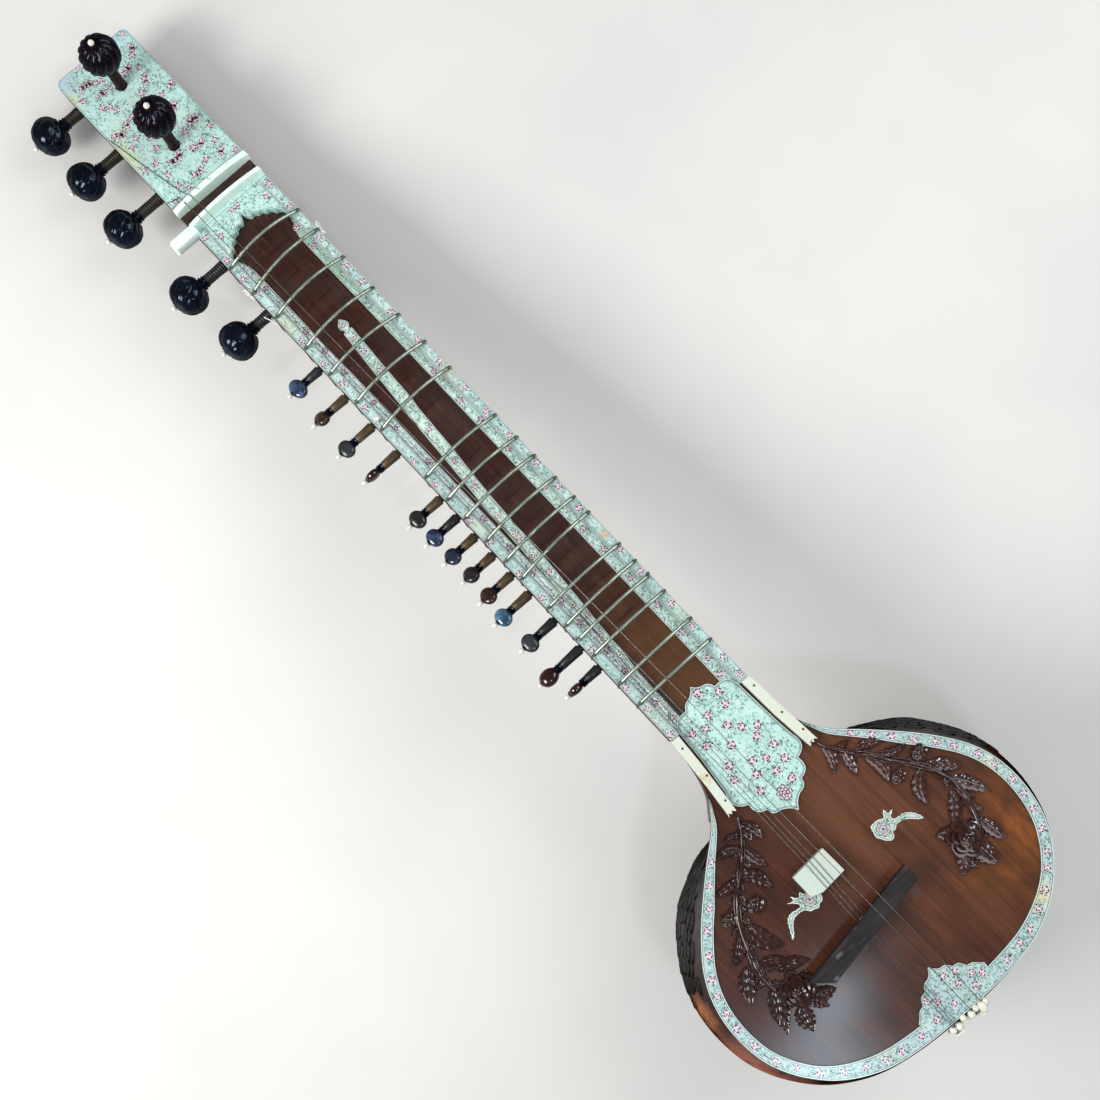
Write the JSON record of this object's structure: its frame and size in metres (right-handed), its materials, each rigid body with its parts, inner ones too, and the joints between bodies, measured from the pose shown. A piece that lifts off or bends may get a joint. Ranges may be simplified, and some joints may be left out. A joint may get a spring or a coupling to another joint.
{
  "type": "sitar",
  "caption": "Long-necked plucked lute with a round gourd body, arched movable frets, friction pegs along one side, carved soundboard and painted inlay.",
  "frame": {"origin": "centre of the instrument's bounding box in x and y, at its lowest point, which is the bottom of the gourd", "axes": "+Z along the neck towards the head, front of the instrument faces -Y, the side pegs stand out towards -X"},
  "size_m": [0.3616, 0.3134, 1.2313],
  "materials": {
    "gourd_lacquer": "gloss lacquer over a dried gourd shell",
    "neck_wood": "gloss",
    "joint_wood": "gloss",
    "soundboard_wood": "satin varnish",
    "fretboard_wood": "satin varnish",
    "painted_sheet": "pale celluloid sheet painted with small flowers",
    "bone": null,
    "fret_brass": "tarnished",
    "peg_black": "gloss black lacquer",
    "peg_purple": "gloss dark stain",
    "button_lacquer": "gloss",
    "bridge_wood": "worn matt",
    "string_steel": "bright",
    "carved_wood": "gloss varnish"
  },
  "bodies": {
    "root": {"gourd": "gourd_lacquer", "neck": "neck_wood", "neck_joint": "joint_wood", "soundboard": "soundboard_wood", "soundboard_binding": "painted_sheet", "fretboard": "fretboard_wood", "pegbox_cover": "painted_sheet", "string_guide": "bone", "nut": "bone", "joint_plate_left": "bone", "joint_plate_right": "bone", "neck_cartouche": "painted_sheet", "main_bridge": "bridge_wood", "tarab_bridge": "bone", "tailpiece": "bone", "carved_spray_left": "carved_wood", "carved_spray_right": "carved_wood", "chikari_post": "bone", "playing_strings": "string_steel", "sympathetic_strings": "string_steel"},
    "fret_01": {"fret_01": "fret_brass"},
    "fret_02": {"fret_02": "fret_brass"},
    "fret_03": {"fret_03": "fret_brass"},
    "fret_04": {"fret_04": "fret_brass"},
    "fret_05": {"fret_05": "fret_brass"},
    "fret_06": {"fret_06": "fret_brass"},
    "fret_07": {"fret_07": "fret_brass"},
    "fret_08": {"fret_08": "fret_brass"},
    "fret_09": {"fret_09": "fret_brass"},
    "fret_10": {"fret_10": "fret_brass"},
    "fret_11": {"fret_11": "fret_brass"},
    "fret_12": {"fret_12": "fret_brass"},
    "fret_13": {"fret_13": "fret_brass"},
    "fret_14": {"fret_14": "fret_brass"},
    "fret_15": {"fret_15": "fret_brass"},
    "fret_16": {"fret_16": "fret_brass"},
    "fret_17": {"fret_17": "fret_brass"},
    "fret_18": {"fret_18": "fret_brass"},
    "fret_19": {"fret_19": "fret_brass"},
    "side_peg_1": {"side_peg_1": "peg_black"},
    "side_peg_2": {"side_peg_2": "peg_black"},
    "side_peg_3": {"side_peg_3": "peg_black"},
    "side_peg_4": {"side_peg_4": "peg_black"},
    "side_peg_5": {"side_peg_5": "peg_black"},
    "front_peg_1": {"front_peg_1": "peg_purple"},
    "front_peg_2": {"front_peg_2": "peg_purple"},
    "tarab_peg_01": {"tarab_peg_01": "button_lacquer"},
    "tarab_peg_02": {"tarab_peg_02": "button_lacquer"},
    "tarab_peg_03": {"tarab_peg_03": "button_lacquer"},
    "tarab_peg_04": {"tarab_peg_04": "button_lacquer"},
    "tarab_peg_05": {"tarab_peg_05": "button_lacquer"},
    "tarab_peg_06": {"tarab_peg_06": "button_lacquer"},
    "tarab_peg_07": {"tarab_peg_07": "button_lacquer"},
    "tarab_peg_08": {"tarab_peg_08": "button_lacquer"},
    "tarab_peg_09": {"tarab_peg_09": "button_lacquer"},
    "tarab_peg_10": {"tarab_peg_10": "button_lacquer"},
    "tarab_peg_11": {"tarab_peg_11": "button_lacquer"},
    "tarab_peg_12": {"tarab_peg_12": "button_lacquer"},
    "tarab_peg_13": {"tarab_peg_13": "button_lacquer"}
  },
  "joints": [
    {"name": "fret_01_slide", "type": "slide", "parent": "root", "child": "fret_01", "axis": [0, 0, 1], "range_m": [-0.005, 0.005]},
    {"name": "fret_02_slide", "type": "slide", "parent": "root", "child": "fret_02", "axis": [0, 0, 1], "range_m": [-0.005, 0.005]},
    {"name": "fret_03_slide", "type": "slide", "parent": "root", "child": "fret_03", "axis": [0, 0, 1], "range_m": [-0.005, 0.005]},
    {"name": "fret_04_slide", "type": "slide", "parent": "root", "child": "fret_04", "axis": [0, 0, 1], "range_m": [-0.005, 0.005]},
    {"name": "fret_05_slide", "type": "slide", "parent": "root", "child": "fret_05", "axis": [0, 0, 1], "range_m": [-0.005, 0.005]},
    {"name": "fret_06_slide", "type": "slide", "parent": "root", "child": "fret_06", "axis": [0, 0, 1], "range_m": [-0.005, 0.005]},
    {"name": "fret_07_slide", "type": "slide", "parent": "root", "child": "fret_07", "axis": [0, 0, 1], "range_m": [-0.005, 0.003]},
    {"name": "fret_08_slide", "type": "slide", "parent": "root", "child": "fret_08", "axis": [0, 0, 1], "range_m": [-0.005, 0.005]},
    {"name": "fret_09_slide", "type": "slide", "parent": "root", "child": "fret_09", "axis": [0, 0, 1], "range_m": [-0.005, 0.005]},
    {"name": "fret_10_slide", "type": "slide", "parent": "root", "child": "fret_10", "axis": [0, 0, 1], "range_m": [-0.005, 0.005]},
    {"name": "fret_11_slide", "type": "slide", "parent": "root", "child": "fret_11", "axis": [0, 0, 1], "range_m": [-0.003, 0.005]},
    {"name": "fret_12_slide", "type": "slide", "parent": "root", "child": "fret_12", "axis": [0, 0, 1], "range_m": [-0.003, 0.005]},
    {"name": "fret_13_slide", "type": "slide", "parent": "root", "child": "fret_13", "axis": [0, 0, 1], "range_m": [-0.005, 0.005]},
    {"name": "fret_14_slide", "type": "slide", "parent": "root", "child": "fret_14", "axis": [0, 0, 1], "range_m": [-0.0028, 0.005]},
    {"name": "fret_15_slide", "type": "slide", "parent": "root", "child": "fret_15", "axis": [0, 0, 1], "range_m": [-0.005, 0.005]},
    {"name": "fret_16_slide", "type": "slide", "parent": "root", "child": "fret_16", "axis": [0, 0, 1], "range_m": [0, 0.005]},
    {"name": "fret_17_slide", "type": "slide", "parent": "root", "child": "fret_17", "axis": [0, 0, 1], "range_m": [-0.0035, 0.005]},
    {"name": "fret_18_slide", "type": "slide", "parent": "root", "child": "fret_18", "axis": [0, 0, 1], "range_m": [-0.005, 0.005]},
    {"name": "fret_19_slide", "type": "slide", "parent": "root", "child": "fret_19", "axis": [0, 0, 1], "range_m": [-0.005, 0.005]},
    {"name": "side_peg_1_turn", "type": "hinge", "parent": "root", "child": "side_peg_1", "pos_m": [-0.03444, -0.05325, 1.20975], "axis": [-1, 0, 0], "continuous": true},
    {"name": "side_peg_2_turn", "type": "hinge", "parent": "root", "child": "side_peg_2", "pos_m": [-0.03444, -0.05325, 1.14525], "axis": [-1, 0, 0], "continuous": true},
    {"name": "side_peg_3_turn", "type": "hinge", "parent": "root", "child": "side_peg_3", "pos_m": [-0.03444, -0.05325, 1.07925], "axis": [-1, 0, 0], "continuous": true},
    {"name": "side_peg_4_turn", "type": "hinge", "parent": "root", "child": "side_peg_4", "pos_m": [-0.03444, -0.05325, 0.97875], "axis": [-1, 0, 0], "continuous": true},
    {"name": "side_peg_5_turn", "type": "hinge", "parent": "root", "child": "side_peg_5", "pos_m": [-0.03444, -0.05325, 0.90875], "axis": [-1, 0, 0], "continuous": true},
    {"name": "front_peg_1_turn", "type": "hinge", "parent": "root", "child": "front_peg_1", "pos_m": [0.01236, -0.08045, 1.18245], "axis": [0, -1, 0], "continuous": true},
    {"name": "front_peg_2_turn", "type": "hinge", "parent": "root", "child": "front_peg_2", "pos_m": [0.00946, -0.08045, 1.09515], "axis": [0, -1, 0], "continuous": true},
    {"name": "tarab_peg_01_turn", "type": "hinge", "parent": "root", "child": "tarab_peg_01", "pos_m": [-0.03444, -0.05325, 0.83125], "axis": [-1, 0, 0], "continuous": true},
    {"name": "tarab_peg_02_turn", "type": "hinge", "parent": "root", "child": "tarab_peg_02", "pos_m": [-0.03444, -0.05325, 0.79255], "axis": [-1, 0, 0], "continuous": true},
    {"name": "tarab_peg_03_turn", "type": "hinge", "parent": "root", "child": "tarab_peg_03", "pos_m": [-0.03444, -0.05325, 0.75345], "axis": [-1, 0, 0], "continuous": true},
    {"name": "tarab_peg_04_turn", "type": "hinge", "parent": "root", "child": "tarab_peg_04", "pos_m": [-0.03444, -0.05325, 0.71685], "axis": [-1, 0, 0], "continuous": true},
    {"name": "tarab_peg_05_turn", "type": "hinge", "parent": "root", "child": "tarab_peg_05", "pos_m": [-0.03444, -0.05325, 0.65555], "axis": [-1, 0, 0], "continuous": true},
    {"name": "tarab_peg_06_turn", "type": "hinge", "parent": "root", "child": "tarab_peg_06", "pos_m": [-0.03444, -0.05325, 0.63145], "axis": [-1, 0, 0], "continuous": true},
    {"name": "tarab_peg_07_turn", "type": "hinge", "parent": "root", "child": "tarab_peg_07", "pos_m": [-0.03444, -0.05325, 0.60655], "axis": [-1, 0, 0], "continuous": true},
    {"name": "tarab_peg_08_turn", "type": "hinge", "parent": "root", "child": "tarab_peg_08", "pos_m": [-0.03444, -0.05325, 0.58195], "axis": [-1, 0, 0], "continuous": true},
    {"name": "tarab_peg_09_turn", "type": "hinge", "parent": "root", "child": "tarab_peg_09", "pos_m": [-0.03444, -0.05325, 0.55645], "axis": [-1, 0, 0], "continuous": true},
    {"name": "tarab_peg_10_turn", "type": "hinge", "parent": "root", "child": "tarab_peg_10", "pos_m": [-0.03444, -0.05325, 0.53215], "axis": [-1, 0, 0], "continuous": true},
    {"name": "tarab_peg_11_turn", "type": "hinge", "parent": "root", "child": "tarab_peg_11", "pos_m": [-0.03444, -0.05325, 0.49795], "axis": [-1, 0, 0], "continuous": true},
    {"name": "tarab_peg_12_turn", "type": "hinge", "parent": "root", "child": "tarab_peg_12", "pos_m": [-0.03444, -0.05325, 0.46305], "axis": [-1, 0, 0], "continuous": true},
    {"name": "tarab_peg_13_turn", "type": "hinge", "parent": "root", "child": "tarab_peg_13", "pos_m": [-0.03444, -0.05325, 0.43855], "axis": [-1, 0, 0], "continuous": true}
  ]
}
